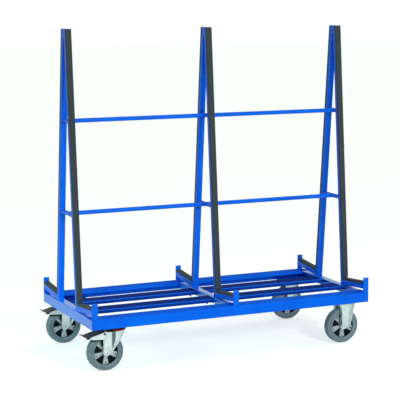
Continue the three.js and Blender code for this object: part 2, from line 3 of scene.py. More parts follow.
import bpy
import numpy as np
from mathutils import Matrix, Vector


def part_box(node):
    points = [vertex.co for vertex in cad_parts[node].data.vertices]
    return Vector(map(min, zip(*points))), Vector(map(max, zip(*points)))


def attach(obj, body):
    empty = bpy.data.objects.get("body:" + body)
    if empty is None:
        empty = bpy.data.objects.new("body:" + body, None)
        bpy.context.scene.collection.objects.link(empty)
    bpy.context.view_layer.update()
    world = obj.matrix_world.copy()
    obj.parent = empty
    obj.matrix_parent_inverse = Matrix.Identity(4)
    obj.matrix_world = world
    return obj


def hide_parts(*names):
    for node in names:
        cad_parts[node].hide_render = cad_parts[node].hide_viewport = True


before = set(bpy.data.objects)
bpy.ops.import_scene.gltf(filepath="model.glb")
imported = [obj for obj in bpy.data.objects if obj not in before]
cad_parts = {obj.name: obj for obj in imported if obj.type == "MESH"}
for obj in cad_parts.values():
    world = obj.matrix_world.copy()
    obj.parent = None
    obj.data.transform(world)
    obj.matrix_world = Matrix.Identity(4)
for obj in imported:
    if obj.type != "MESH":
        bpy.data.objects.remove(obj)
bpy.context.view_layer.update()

# The looks of a double-sided sheet goods cart. Sizes are in millimetres and become metres where a mesh is
# filled. +X runs along the cart to the right, +Y to the rear, +Z up.
MM = 0.001
X, Y, Z = np.eye(3)
SIDES = {"front": -1, "rear": 1}


def node_box(name):
    """Lowest and highest corner of a CAD node at rest, in millimetres."""
    low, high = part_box(name)
    return np.array(low) / MM, np.array(high) / MM


# Base frame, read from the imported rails
rail_low, rail_high = node_box("rear_rail")
LEFT, RIGHT = rail_low[0], rail_high[0]
HALF_DEPTH = rail_high[1]
FLANGE_EDGE = rail_low[1]
RAIL_FOOT, RAIL_TOP = rail_low[2], rail_high[2]

# Gap between two pieces, depth to which one reaches into another, and gap between faces of one piece
SEAM = 0.3
TUCK = 1.0
HAIR = 0.2

# Wall of the folded steel, and the radii of its bends and edges
WALL = 4.0
LIP_DROP = 12.0
FLANGE_FOOT = RAIL_TOP - WALL
END_FLANGE = node_box("left_end_rail")[1][0] - LEFT
BEND = 6.0
INNER_BEND = BEND - WALL
FLAT_EDGE = 3.0
CUT_EDGE = 0.8
SLAT_WALL, SLAT_BEND = 3.0, 4.5

# Lean frames
LEG_WIDTH = 34.0
LEG_DEPTH = 23.0
HALF_LEG = LEG_WIDTH / 2
TUBE_EDGE = 3.0
TOP = node_box("leg_left_front")[1][2]
APEX_HALF = 2.6
LEAN = math.radians(5.08)
LEAN_RATE = math.tan(LEAN)
CAP = 3.0
CAP_EDGE = 1.2
APEX_BLOCK = 50.0
WEDGE_DROP = 0.5
STATIONS = {"left": LEFT + HALF_LEG, "centre": (LEFT + RIGHT) / 2, "right": RIGHT - HALF_LEG}
SOLE_HEIGHT = 30.0
SOLE_FOOT = RAIL_TOP + 1.5
SOLE_ROOT = APEX_HALF + LEG_DEPTH + LEAN_RATE * (TOP - SOLE_FOOT)
STOP_THICKNESS = 8.0
STOP_EDGE = 1.6
LEG_PAD = 16.0
SOLE_PAD = 13.5
STRIP_END = 1.0
BRACE_RADIUS = 12.5

# Places of the casters
CASTER_LINE = HALF_DEPTH - 68.0
AXLE_LEVEL = 104.0
KINGPIN_X = LEFT + 159.0
SWIVEL_AXLE_X = KINGPIN_X - 62.0
PEDAL_PIN = np.array([SWIVEL_AXLE_X - 14.0, 212.5])
FIXED_PLATE_X = RIGHT - 127.5
FIXED_AXLE_X = FIXED_PLATE_X - 18.5

# Their plates, bolts and forks
PLATE = 6.0
PLATE_FOOT = node_box("swivel_bearing_front_left")[1][2] + SEAM
PLATE_TOP = PLATE_FOOT + PLATE
CORNER_TOP = PLATE_TOP + SEAM + PLATE
HALF_PLATE = np.array([70.0, 55.0])
PLATE_CORNER = 12.0
HALF_PITCH = np.array([60.0, 40.0])
NUT_FLATS = 16.0
CROWN_FOOT, CROWN_TOP = 222.0, 232.0
CHEEK_IN, CHEEK_OUT = 30.0, 35.0
CHEEK_EDGE = 1.4
FOOT_RADIUS = 20.0
FLANGE_WALL = 4.0

# Profiles of the wheels as (radius, distance from the wheel's middle plane), and a spoke's outline
TYRE_HALF = np.array([
    (73.3, 0), (73.3, 18.8), (71.5, 19.4), (70, 19.8), (70, 20.8), (73, 21.6), (80, 22.8),
    (82, 24.2), (84.5, 24.4), (86.5, 21.8), (91.5, 21.8), (94, 24.8), (98.5, 24.2), (101.5, 21.5),
    (103, 18), (103.4, 14.5), (102.2, 13.8), (102.2, 12.4), (103.6, 11.7), (104, 0)])
HUB_HALF = np.array([(6.3, 29), (17, 29), (19, 27), (21, 16), (23, 12)])
RIM_HALF = np.array([(67.2, 6), (68.5, 18), (70, 19), (73, 19)])
CORE_HALF = np.array([(20, 4), (40, 4), (44, 3), (68, 3)])
# Black rivets near the rim, whose black is painted shade of their recesses
RIVET = [(3.4, 13), (3.4, 14.4), (2.2, 15.2)]
RIVET_CIRCLE = 59.0
SPOKE = [(-7.5, -16), (-18.5, -70), (18.5, -70), (7.5, -16)]
SPOKE_TURNS = 2 * np.pi * np.arange(5) / 5

# Brake pedals: the tread's slope, its height over the pin, and its parts along the slope from the pin
TREAD_SLOPE = math.radians(15.5)
TREAD_LIFT = 9.5
TREAD_WALL, RIB_TOP = 4.6, 6.0
TREAD_BEND, TREAD_HEEL = -100.0, 6.0
PIN_HEAD = [(6.5, 41.8), (6.3, 43.2), (4.2, 44.4)]

# Points of a rounded end and of a bead's section, and the angle from which an edge is shown sharp
END_STEPS = 4
BEAD_STEPS = 10
SHARP_FROM = math.radians(38)


# Outlines and skins

def rounded(corners, radii, steps=6):
    """Closed outline with each corner turned to an arc: the arc starts where its circle touches the side
    that comes in and turns about the circle's centre by the angle between the two sides."""
    corners = np.asarray(corners, float)
    radii = np.broadcast_to(np.asarray(radii, float), len(corners))
    ahead = np.roll(corners, -1, 0) - corners
    ahead /= np.linalg.norm(ahead, axis=1, keepdims=True)
    behind = np.roll(ahead, 1, 0)
    turn = np.arctan2(behind[:, 0] * ahead[:, 1] - behind[:, 1] * ahead[:, 0], (behind * ahead).sum(1))
    start = corners - behind * (radii * np.tan(np.abs(turn) / 2))[:, None]
    inward = np.sign(turn)[:, None] * np.stack([-behind[:, 1], behind[:, 0]], 1)
    middle = start + inward * radii[:, None]
    spoke = start - middle
    swing = turn[:, None] * np.linspace(0, 1, steps)
    first = middle[:, :1] + spoke[:, :1] * np.cos(swing) - spoke[:, 1:] * np.sin(swing)
    second = middle[:, 1:] + spoke[:, :1] * np.sin(swing) + spoke[:, 1:] * np.cos(swing)
    return np.stack([first, second], -1).reshape(-1, 2)


def box_outline(low, high, radii):
    """Rounded rectangle between two corners, counter-clockwise from the lowest."""
    (a, b), (c, d) = low, high
    return rounded([(a, b), (c, b), (c, d), (a, d)], radii)


def circle(radius, steps=24):
    """Circle of points at equal angles."""
    angle = np.linspace(0, 2 * np.pi, steps, endpoint=False)
    return radius * np.stack([np.cos(angle), np.sin(angle)], 1)


def inward_normals(section):
    """Inward unit normals of a closed outline, square to the line between each point's neighbours."""
    along = np.roll(section, -1, 0) - np.roll(section, 1, 0)
    along /= np.linalg.norm(along, axis=1, keepdims=True)
    following = np.roll(section, -1, 0)
    area = (section[:, 0] * following[:, 1] - section[:, 1] * following[:, 0]).sum()
    return np.sign(area) * np.stack([-along[:, 1], along[:, 0]], 1)


def skin(rings, loop=False):
    """Closed skin over an array of rings (ring, point, xyz): one quad between neighbouring points of
    neighbouring rings. The last ring meets the first in a loop, and otherwise both are closed by a flat
    face. The volume that the faces enclose says whether they have to be turned to point outwards."""
    count, size = rings.shape[:2]
    index = np.arange(count * size).reshape(count, size)
    low, high = (index, np.roll(index, -1, 0)) if loop else (index[:-1], index[1:])
    quads = np.stack([low, np.roll(low, -1, 1), np.roll(high, -1, 1), high], -1).reshape(-1, 4)
    ends = [] if loop else [index[0][::-1], index[-1]]
    points = rings.reshape(-1, 3)
    a, b, c, d = (points - points.mean(0))[quads.T]
    volume = (a * (np.cross(b, c) + np.cross(c, d))).sum()
    for end in ends:
        fan = points[end] - points.mean(0)
        volume += (fan[0] * np.cross(fan[1:-1], fan[2:])).sum()
    if volume < 0:
        quads, ends = quads[:, ::-1], [end[::-1] for end in ends]
    return points, quads, ends


def carried(section, path, across, up, edge=0.0, swell=1.0):
    """Carries a closed section (a, b) along a path: each ring is place + swell * (a * across + b * up). With
    an edge radius, the rings at both ends are drawn in along a quarter circle."""
    section, path = np.asarray(section, float), np.asarray(path, float)
    inset = np.zeros(len(path))
    if edge:
        quarter = np.linspace(0, np.pi / 2, END_STEPS)
        step = edge * (1 - np.cos(quarter))[:, None]
        first, last = path[1] - path[0], path[-1] - path[-2]
        head = path[0] + step * first / np.linalg.norm(first)
        tail = path[-1] - step[::-1] * last / np.linalg.norm(last)
        drawn = edge * (1 - np.sin(quarter))
        inset = np.concatenate([drawn, np.zeros(len(path) - 2), drawn[::-1]])
        path = np.concatenate([head, path[1:-1], tail])
    flat = section + inset[:, None, None] * inward_normals(section)
    flat = flat * np.broadcast_to(swell, len(path))[:, None, None]
    return skin(path[:, None] + flat[..., :1] * np.asarray(across) + flat[..., 1:] * np.asarray(up))


def bar(section, start, end, across, up, edge=CUT_EDGE):
    """A section carried straight from one place to another, with rounded cut ends."""
    return carried(section, [start, end], across, up, edge)


def plate(outline, low, high, offset=(0, 0, 0), edge=CUT_EDGE):
    """An outline (x, z) carried through a thickness from low to high along Y."""
    return bar(outline, np.add(offset, low * Y), np.add(offset, high * Y), X, Z, edge)


def about(axis):
    """The two directions that an axis turns through, and the axis itself."""
    return {"x": (Y, Z, X), "y": (Z, X, Y), "z": (X, Y, Z)}[axis]


def turned(section, centre, axis, steps=96):
    """A closed section of (radius, height) turned about an axis: each ring is the section at one angle, and
    the last ring meets the first."""
    u, v, w = about(axis)
    angle = np.linspace(0, 2 * np.pi, steps, endpoint=False)[:, None, None]
    radius, height = np.asarray(section, float).T[:, None, :, None]
    return skin(np.asarray(centre) + radius * (np.cos(angle) * u + np.sin(angle) * v) + height * w, loop=True)


def spun(profile, centre, axis, steps=48, flats=None):
    """A solid turned about an axis: each (radius, height) of the profile is one ring. Given a size across
    flats, no point of a ring lies outside the hexagon of that size."""
    u, v, w = about(axis)
    angle = np.linspace(0, 2 * np.pi, steps, endpoint=False)
    radius, height = np.asarray(profile, float).T[:, :, None]
    if flats:
        radius = np.minimum(radius, flats / 2 / np.cos(angle % (np.pi / 3) - np.pi / 6))
    radius = np.broadcast_to(radius, (len(profile), steps))[..., None]
    angle = angle[:, None]
    return skin(np.asarray(centre) + radius * (np.cos(angle) * u + np.sin(angle) * v) + height[..., None] * w)


def weld(start, end, radius=2.6, pitch=3.0):
    """A bead between two places: a round section whose size swells and shrinks once in each ripple."""
    ripple_steps, ripple_depth, nearly_upright = 6, 0.12, 0.9
    start, end = np.asarray(start, float), np.asarray(end, float)
    along = (end - start) / np.linalg.norm(end - start)
    across = np.cross(along, Z if abs(along[2]) < nearly_upright else X)
    across /= np.linalg.norm(across)
    ripples = np.linalg.norm(end - start) / pitch
    place = np.linspace(0, 1, int(ripple_steps * ripples) + 2)
    swell = 1 + ripple_depth * np.sin(2 * np.pi * ripples * place)
    path = start + place[:, None] * (end - start)
    return carried(circle(radius, BEAD_STEPS), path, across, np.cross(along, across), swell=swell)


def collar(centre, axis, radius, bead=2.4, steps=60):
    """A bead round a bar: a small circle turned about the bar's axis."""
    return turned(circle(bead, BEAD_STEPS) + [radius, 0], centre, axis, steps)


def bolt_head(centre, axis, way, flats, height):
    """A hexagon head: a prism of six flats whose outer face is cut to a circle by a chamfer."""
    chamfer_from, face_share = 0.8, 0.94
    tip = flats / math.sqrt(3)
    profile = [(tip, 0), (tip, height * chamfer_from), (flats / 2 * face_share, height)]
    return spun(np.multiply(profile, (1, way)), centre, axis, flats=flats)


def disc(radius, centre, axis, low, high, edge=0.6):
    """A round disc with its two rims broken by a small chamfer."""
    return spun([(radius - edge, low), (radius, low + edge), (radius, high - edge), (radius - edge, high)],
                centre, axis)


def placed(name, data):
    """A new object at the origin, in the scene."""
    made = bpy.data.objects.new(name, data)
    bpy.context.scene.collection.objects.link(made)
    return made


def piece(name, shells, material, body="frame", nodes=()):
    """One object from closed skins in millimetres, with the given material. It rides on a body and stands for
    the named CAD nodes, which it hides."""
    starts = np.cumsum([0] + [len(points) for points, _, _ in shells])
    faces = []
    for start, (_, quads, ends) in zip(starts, shells):
        faces += (quads + start).tolist() + [(end + start).tolist() for end in ends]
    mesh = bpy.data.meshes.new(name)
    mesh.from_pydata(np.concatenate([points for points, _, _ in shells]) * MM, [], faces)
    mesh.shade_smooth()
    mesh.set_sharp_from_angle(angle=SHARP_FROM)
    mesh.materials.append(material)
    made = placed(name, mesh)
    made.modifiers.new("weighted_normals", "WEIGHTED_NORMAL").keep_sharp = True
    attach(made, body)
    if nodes:
        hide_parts(*nodes)


# Materials

def linear(code):
    """An sRGB hex colour as linear light: c / 12.92 up to 0.04045, above it ((c + 0.055) / 1.055) ^ 2.4."""
    c = np.array([int(code[i:i + 2], 16) for i in (1, 3, 5)]) / 255
    return (*np.where(c <= 0.04045, c / 12.92, ((c + 0.055) / 1.055) ** 2.4), 1.0)


def add(tree, kind, inputs, **settings):
    """Adds one node: settings are its own properties, and each input is a socket to link or a value."""
    node = tree.nodes.new(kind)
    for key, value in settings.items():
        setattr(node, key, value)
    for key, value in inputs.items():
        if isinstance(value, bpy.types.NodeSocket):
            tree.links.new(value, node.inputs[key])
        else:
            node.inputs[key].default_value = value
    return node


def blank(name):
    """A new material's empty node tree and its Object coordinates."""
    material = bpy.data.materials.new(name)
    material.use_nodes = True
    material.node_tree.nodes.clear()
    place = add(material.node_tree, "ShaderNodeTexCoord", {}).outputs["Object"]
    return material, material.node_tree, place


def noise(tree, place, size, detail):
    """Value of a noise whose pattern has this size in millimetres."""
    made = add(tree, "ShaderNodeTexNoise", {"Vector": place, "Scale": 1 / (size * MM), "Detail": detail})
    return made.outputs["Fac"]


def drawn_out(tree, place, stretch):
    """Coordinates that draw a pattern out along the axis whose factor is small."""
    return add(tree, "ShaderNodeMapping", {"Vector": place, "Scale": stretch}).outputs["Vector"]


def spread(tree, factor, low=0.0, high=1.0):
    """The middle of a noise, from 0.3 to 0.7, spread over the range from low to high."""
    ramp = add(tree, "ShaderNodeMapRange", {"Value": factor, "From Min": 0.3, "From Max": 0.7,
                                            "To Min": low, "To Max": high})
    return ramp.outputs["Result"]


def blend(tree, factor, first, second):
    """Colour from the first to the second by the factor. Each is a hex value or a colour's socket."""
    tones = [linear(tone) if isinstance(tone, str) else tone for tone in (first, second)]
    return add(tree, "ShaderNodeMix", {0: factor, 6: tones[0], 7: tones[1]}, data_type="RGBA").outputs[2]


def relief(tree, height, strength, depth):
    """Normal of a surface that a pattern raises by a depth in millimetres."""
    bump = add(tree, "ShaderNodeBump", {"Height": height, "Strength": strength, "Distance": depth * MM})
    return bump.outputs["Normal"]


def close(material, tree, inputs):
    """Ends a material in one surface shader with these inputs."""
    shader = add(tree, "ShaderNodeBsdfPrincipled", inputs)
    add(tree, "ShaderNodeOutputMaterial", {"Surface": shader.outputs["BSDF"]})
    return material


def powder_coat(name, shade, light, gloss, sheen, glint="#ffffff", painted_light=None):
    """Polyester powder coat, sprayed and baked: even satin colour over a fine orange peel, with faint clouds
    where the coat is thicker. The peel is drawn at 5 mm, coarser than the real 1 mm, so that it shows. A
    function can paint light and shade over the colour."""
    material, tree, place = blank(name)
    cloud = noise(tree, place, 180, 3.0)
    colour = blend(tree, spread(tree, cloud), shade, light)
    return close(material, tree, {
        # Painted light and shade over the colour, where a function for it is given
        "Base Color": painted_light(tree, place, colour) if painted_light else colour,
        "Roughness": spread(tree, cloud, gloss - 0.05, gloss + 0.05),
        "Specular IOR Level": sheen,
        "Specular Tint": linear(glint),
        "Normal": relief(tree, noise(tree, place, 5, 1.0), 0.12, 0.4),
    })


def painted_slat_shade_and_highlight(tree, place, colour):
    """Painted shade and highlight on the slats, by level: painted shade darkens their tops, which lie in the
    shade of the base, and a painted highlight lightens the two bends."""
    level = add(tree, "ShaderNodeSeparateXYZ", {"Vector": place}).outputs["Z"]
    top = node_box("front_slat")[1][2]

    def risen(start, end):
        """Runs from 0 to 1 between two levels, in millimetres below the slats' tops."""
        ramp = add(tree, "ShaderNodeMapRange", {"Value": level, "From Min": (top - start) * MM,
                                                "From Max": (top - end) * MM})
        return ramp.outputs["Result"]

    # Painted highlight along the two bends
    bends = blend(tree, risen(5.5, 3.5), colour, "#1e6ee8")
    # Painted shade on the tops
    return blend(tree, risen(0.8, 0.2), bends, "#032c80")


def extruded_rubber(name, stretch):
    """EPDM strip, extruded: dull dark grey with fine streaks along it and a bloom of paler dust."""
    material, tree, place = blank(name)
    streak = noise(tree, drawn_out(tree, place, stretch), 4, 4.0)
    bloom = noise(tree, place, 90, 5.0)
    both = add(tree, "ShaderNodeMath", {0: streak, 1: bloom, 2: 0.12}, operation="MULTIPLY_ADD").outputs[0]
    return close(material, tree, {
        "Base Color": blend(tree, spread(tree, both), "#28353a", "#3c4b51"),
        "Roughness": spread(tree, bloom, 0.66, 0.84),
        "Specular IOR Level": 0.35,
        "Normal": relief(tree, streak, 0.3, 0.6),
    })


def tyre_rubber():
    """Elastic solid rubber, moulded in grey: matt, a little chalky, with a fine grit and paler scuffs."""
    material, tree, place = blank("moulded_grey_tyre_rubber")
    chalk = noise(tree, place, 35, 5.0)
    return close(material, tree, {
        "Base Color": blend(tree, spread(tree, chalk), "#60777f", "#728991"),
        "Roughness": spread(tree, chalk, 0.6, 0.78),
        "Specular IOR Level": 0.4,
        "Normal": relief(tree, noise(tree, place, 3, 2.0), 0.25, 0.5),
    })


def zinc_plate(name, shade, light, metal):
    """Pressed steel, zinc plated and blue passivated: pale, silky metal with soft clouds and draw lines."""
    material, tree, place = blank(name)
    cloud = noise(tree, place, 30, 4.0)
    lines = noise(tree, drawn_out(tree, place, (1.0, 1.0, 0.08)), 3, 2.0)
    return close(material, tree, {
        "Base Color": blend(tree, spread(tree, cloud), shade, light),
        "Metallic": metal,
        "Roughness": spread(tree, cloud, 0.36, 0.5),
        "Normal": relief(tree, lines, 0.15, 0.3),
    })


def cast_aluminium():
    """Die-cast aluminium, tumbled: cool mid grey with a sandy skin and small dull blotches."""
    material, tree, place = blank("die_cast_aluminium")
    blotch = noise(tree, place, 14, 4.0)
    return close(material, tree, {
        "Base Color": blend(tree, spread(tree, blotch), "#8f9da1", "#a9b5b8"),
        "Metallic": 0.6,
        "Roughness": spread(tree, blotch, 0.42, 0.58),
        "Normal": relief(tree, noise(tree, place, 2.5, 2.0), 0.3, 0.4),
    })


def moulded_plastic(name, shade, light, gloss, sheen):
    """Injection-moulded nylon: even colour, spark-eroded grain, soft shine. The grain is drawn at 3 mm,
    coarser than the real 0.3 mm, so that it shows."""
    material, tree, place = blank(name)
    grain = add(tree, "ShaderNodeTexVoronoi", {"Vector": place, "Scale": 1 / (3 * MM)}).outputs["Distance"]
    flow = noise(tree, place, 25, 3.0)
    return close(material, tree, {
        "Base Color": blend(tree, spread(tree, flow), shade, light),
        "Roughness": spread(tree, flow, gloss - 0.06, gloss + 0.06),
        "Specular IOR Level": sheen,
        "Normal": relief(tree, grain, 0.2, 0.4),
    })


rail_paint = powder_coat("matt_blue_powder_coat", "#045fe0", "#066ef6", 0.8, 0.06)
frame_paint = powder_coat("satin_blue_powder_coat", "#045fe0", "#066ef6", 0.35, 0.2, "#90ecff")
# Painted light: the end rails and crossmember take a lighter, greener copy of the frame's blue with a cyan
# tint on its sheen, standing in for the strong light that falls on them from the left
end_paint = powder_coat("glossy_blue_powder_coat_painted_lighter", "#046eda", "#067ef0", 0.2, 0.6, "#b4f6ff")
# Painted shade: a darker copy of the frame's blue for the nuts above the corner plates, which lie in the
# shade of the rails
shade_paint = powder_coat("dark_blue_powder_coat_for_painted_shade", "#043aa0", "#0646b6", 0.75, 0.03)
# Painted shade: the slats take a darker copy of the frame's blue, standing in for the shade of the base, with
# painted shade and highlight laid over it
slat_paint = powder_coat("blue_powder_coat_with_painted_shade_on_the_slats", "#033492", "#053fa6", 0.75, 0.03, painted_light=painted_slat_shade_and_highlight)
upright_rubber = extruded_rubber("rubber_drawn_upwards", (1.0, 1.0, 0.04))
level_rubber = extruded_rubber("rubber_drawn_across", (1.0, 0.04, 1.0))
grey_tyre = tyre_rubber()
zinc = zinc_plate("bright_zinc_on_pressed_steel", "#b6c6c4", "#cfdcda", 0.75)
# Painted shadow: a dark copy of the zinc for the shadow that the fork's rib casts
painted_shadow_zinc = zinc_plate("painted_rib_shadow_on_zinc", "#4a6064", "#5c7377", 0.3)
aluminium = cast_aluminium()
red_plastic = moulded_plastic("red_nylon_seal", "#5c0a22", "#741230", 0.6, 0.1)
black_plastic = moulded_plastic("black_nylon", "#141d20", "#222f33", 0.5, 0.5)
# Near black on the wheels' rims and core discs, the brake covers and strips, the axle heads' dots and the
# wheels' rivets; on the dots and rivets it is painted shade of hollows
core_black = moulded_plastic("near_black_finish", "#070b0c", "#0e1516", 0.7, 0.1)


# Base frame

def long_rail(side):
    """Web, wide top flange and lip of a long rail: an angle with a bend radius carried along X, and a strip
    folded down at the flange's inner edge that stops short of the end rails."""
    way = SIDES[side]
    inner = HALF_DEPTH - WALL
    angle = rounded([(HALF_DEPTH, RAIL_FOOT), (HALF_DEPTH, RAIL_TOP), (FLANGE_EDGE, RAIL_TOP),
                     (FLANGE_EDGE, FLANGE_FOOT), (inner, FLANGE_FOOT), (inner, RAIL_FOOT)],
                    [CUT_EDGE, BEND, FLAT_EDGE, CUT_EDGE, INNER_BEND, CUT_EDGE])
    lip = box_outline((FLANGE_EDGE, FLANGE_FOOT - LIP_DROP), (FLANGE_EDGE + WALL, FLANGE_FOOT + TUCK),
                      CUT_EDGE)
    short = WALL + SEAM
    return [
        bar(angle, LEFT * X, RIGHT * X, way * Y, Z),
        bar(lip, (LEFT + short) * X, (RIGHT - short) * X, way * Y, Z),
    ]


def end_rail(end):
    """Web and top flange of an end rail: an angle carried along Y between the flanges of the long rails, and
    two flat ends of the web that reach under those flanges."""
    face, way = {"left": (LEFT, 1), "right": (RIGHT, -1)}[end]
    reach = FLANGE_EDGE - SEAM
    angle = rounded([(0, RAIL_FOOT), (WALL, RAIL_FOOT), (WALL, FLANGE_FOOT), (END_FLANGE, FLANGE_FOOT),
                     (END_FLANGE, RAIL_TOP), (0, RAIL_TOP)],
                    [CUT_EDGE, CUT_EDGE, INNER_BEND, CUT_EDGE, CUT_EDGE, BEND])
    web = box_outline((0, RAIL_FOOT), (WALL, FLANGE_FOOT - SEAM), CUT_EDGE)
    tip = HALF_DEPTH - WALL - SEAM
    start = np.array([face, 0, 0])
    shells = [bar(angle, start - reach * Y, start + reach * Y, way * X, Z, edge=0)]
    for side in SIDES.values():
        shells.append(bar(web, start + side * reach * Y, start + side * tip * Y, way * X, Z, edge=0))
    return shells


def channel(half, foot, top, wall, bend):
    """Section of a channel that is open below, with a bend of the outer radius at both edges of its top."""
    inner, under = half - wall, top - wall
    edges = [CUT_EDGE, CUT_EDGE, bend - wall, bend - wall, CUT_EDGE, CUT_EDGE, bend, bend]
    return rounded([(-half, foot), (-inner, foot), (-inner, under), (inner, under), (inner, foot),
                    (half, foot), (half, top), (-half, top)], edges)


def slat(side):
    """Shallow channel, carried along X between the webs of the end rails."""
    low, high = node_box(f"{side}_slat")
    section = channel((high[1] - low[1]) / 2, low[2], high[2], SLAT_WALL, SLAT_BEND)
    middle = (low[1] + high[1]) / 2 * Y
    return [bar(section, low[0] * X + middle, high[0] * X + middle, Y, Z)]


def crossmember():
    """Channel carried along Y, with only its top left where the slats pass under it."""
    low, high = node_box("centre_crossmember")
    middle = STATIONS["centre"] * X
    half = (high[0] - low[0]) / 2
    whole = channel(half, RAIL_FOOT, RAIL_TOP, WALL, BEND)
    strip = box_outline((-half, FLANGE_FOOT), (half, RAIL_TOP), (CUT_EDGE, CUT_EDGE, FLAT_EDGE, FLAT_EDGE))
    slat_low, slat_high = node_box("rear_slat")
    room = (slat_low[1] - SEAM, slat_high[1] + SEAM)
    reach = high[1]
    stretches = [(-reach, -room[1], whole), (-room[1], -room[0], strip), (-room[0], room[0], whole),
                 (room[0], room[1], strip), (room[1], reach, whole)]
    return [bar(section, middle + a * Y, middle + b * Y, X, Z, edge=0) for a, b, section in stretches]


def build_base():
    """Rails, slats and crossmember of the base."""
    for side in SIDES:
        piece(f"folded_{side}_rail", long_rail(side), rail_paint, nodes=[f"{side}_rail"])
        piece(f"folded_{side}_slat", slat(side), slat_paint, nodes=[f"{side}_slat"])
    for end in ("left", "right"):
        piece(f"folded_{end}_end_rail", end_rail(end), end_paint, nodes=[f"{end}_end_rail"])
    piece("folded_crossmember", crossmember(), end_paint, nodes=["centre_crossmember"])


# Lean frames

def lean_out(level):
    """How far the lean has carried a leg outwards at a level."""
    return LEAN_RATE * (TOP - level)


def leaning(section, station, way, low, high, edge):
    """A level section (x, distance out from the apex) carried up a leg from one level to another."""
    path = [(station, way * lean_out(level), level) for level in (low, high)]
    return carried(section, path, X, way * Y, edge)


def leg(place, side):
    """Rectangular tube with a flat cap, leaning on its frame, with a ripple of weld at its foot. The rear
    leg also carries the wedge that closes the top of the frame."""
    station, way = STATIONS[place], SIDES[side]
    foot = RAIL_TOP + SEAM
    tube = box_outline((-HALF_LEG, APEX_HALF), (HALF_LEG, APEX_HALF + LEG_DEPTH), TUBE_EDGE)
    inside = np.array([station, way * (APEX_HALF + lean_out(foot)), foot + TUCK])
    shells = [
        leaning(tube, station, way, foot, TOP - CAP - HAIR, CUT_EDGE),
        leaning(tube, station, way, TOP - CAP, TOP, CAP_EDGE),
        weld(inside - HALF_LEG * X, inside + HALF_LEG * X),
    ]
    if side == "rear":
        low, high = TOP - APEX_BLOCK, TOP - WEDGE_DROP
        half_low = APEX_HALF + lean_out(low)
        wedge = rounded([(SEAM - half_low, low), (half_low + TUCK, low), (APEX_HALF + TUCK, high),
                         (SEAM - APEX_HALF, high)], CUT_EDGE)
        reach = HALF_LEG - TUCK
        shells.append(bar(wedge, (station - reach) * X, (station + reach) * X, Y, Z))
    return shells


def sole_line(height, y):
    """Level of the sole's line at a height above its underside, at a distance y from the cart's middle."""
    return SOLE_FOOT + height / math.cos(LEAN) + (y - SOLE_ROOT) * LEAN_RATE


def sole_root(height):
    """Distance from the cart's middle at which the sole's line meets the leg."""
    return SOLE_ROOT + SEAM / math.cos(LEAN) - height * math.sin(LEAN)


def sole(place, side):
    """Square tube from the leg to an upright stop: the tube's first ring lies on the leg's leaning face and
    its last on the stop. The stop is a flat bar with a rounded top, and a bead joins the two."""
    station, way = STATIONS[place], SIDES[side]
    across, height = box_outline((-HALF_LEG, 0), (HALF_LEG, SOLE_HEIGHT), TUBE_EDGE).T
    end = HALF_DEPTH - STOP_THICKNESS
    reach = np.stack([sole_root(height), np.full_like(height, end)])
    rings = np.stack(np.broadcast_arrays(station + across, way * reach, sole_line(height, reach)), -1)
    stop_top = node_box(f"sole_{place}_{side}")[1][2]
    flat_bar = box_outline((-HALF_LEG, -STOP_THICKNESS), (HALF_LEG, 0), STOP_EDGE)
    face = np.array([station, way * HALF_DEPTH, 0])
    stop = bar(flat_bar, face + (RAIL_TOP + SEAM) * Z, face + stop_top * Z, X, way * Y, STOP_EDGE)
    joint = np.array([station, way * end, sole_line(0, end)])
    half_bead = (HALF_LEG - 2 * TUCK) * X
    return [skin(rings), stop, weld(joint - half_bead, joint + half_bead)]


def strip_section(low, high):
    """Rubber strip: flat on its back, two rounded outer edges and two shallow grooves along its face."""
    groove, depth, half_mouth, half_floor = 6.0, 1.6, 2.2, 1.0
    groove_edge, outer_edge = 0.6, 4.5
    corners = [(-HALF_LEG, low), (HALF_LEG, low), (HALF_LEG, high)]
    radii = [CUT_EDGE, CUT_EDGE, outer_edge]
    for middle in (groove, -groove):
        corners += [(middle + half_mouth, high), (middle + half_floor, high - depth),
                    (middle - half_floor, high - depth), (middle - half_mouth, high)]
        radii += [groove_edge] * 4
    return rounded(corners + [(-HALF_LEG, high)], radii + [outer_edge], steps=5)


def leg_strip(place, side):
    """Rubber strip up the outer face of a leg."""
    low = node_box(f"leg_pad_{place}_{side}")[0][2]
    inner = APEX_HALF + LEG_DEPTH + SEAM
    return [leaning(strip_section(inner, inner + LEG_PAD), STATIONS[place], SIDES[side], low, TOP, STRIP_END)]


def sole_strip(place, side):
    """Rubber strip along the top of a sole, square to the leg."""
    way = SIDES[side]
    along = np.array([0, way * math.cos(LEAN), math.sin(LEAN)])
    up = np.array([0, -way * math.sin(LEAN), math.cos(LEAN)])
    root = sole_root(SOLE_HEIGHT)
    start = np.array([STATIONS[place], way * root, sole_line(SOLE_HEIGHT, root)])
    end = (HALF_DEPTH - STOP_THICKNESS - SEAM - root) / math.cos(LEAN) - SOLE_PAD * LEAN_RATE
    return [bar(strip_section(SEAM, SEAM + SOLE_PAD), start, start + end * along, X, up, STRIP_END)]


def brace(level):
    """Round bar along the cart and a cross tie between each frame's legs, with a bead at every joint."""
    rod = circle(BRACE_RADIUS)
    first, last = STATIONS["left"], STATIONS["right"]
    shells = [bar(rod, (first, 0, level), (last, 0, level), Y, Z, edge=0)]
    reach = APEX_HALF + lean_out(level) - SEAM
    for station in STATIONS.values():
        shells.append(bar(rod, (station, -reach, level), (station, reach, level), X, Z, edge=0))
        shells += [collar((station, way * reach, level), "y", BRACE_RADIUS) for way in SIDES.values()]
    for station, ways in (("left", [1]), ("centre", [-1, 1]), ("right", [-1])):
        shells += [collar((STATIONS[station] + way * BRACE_RADIUS, 0, level), "x", BRACE_RADIUS)
                   for way in ways]
    return shells


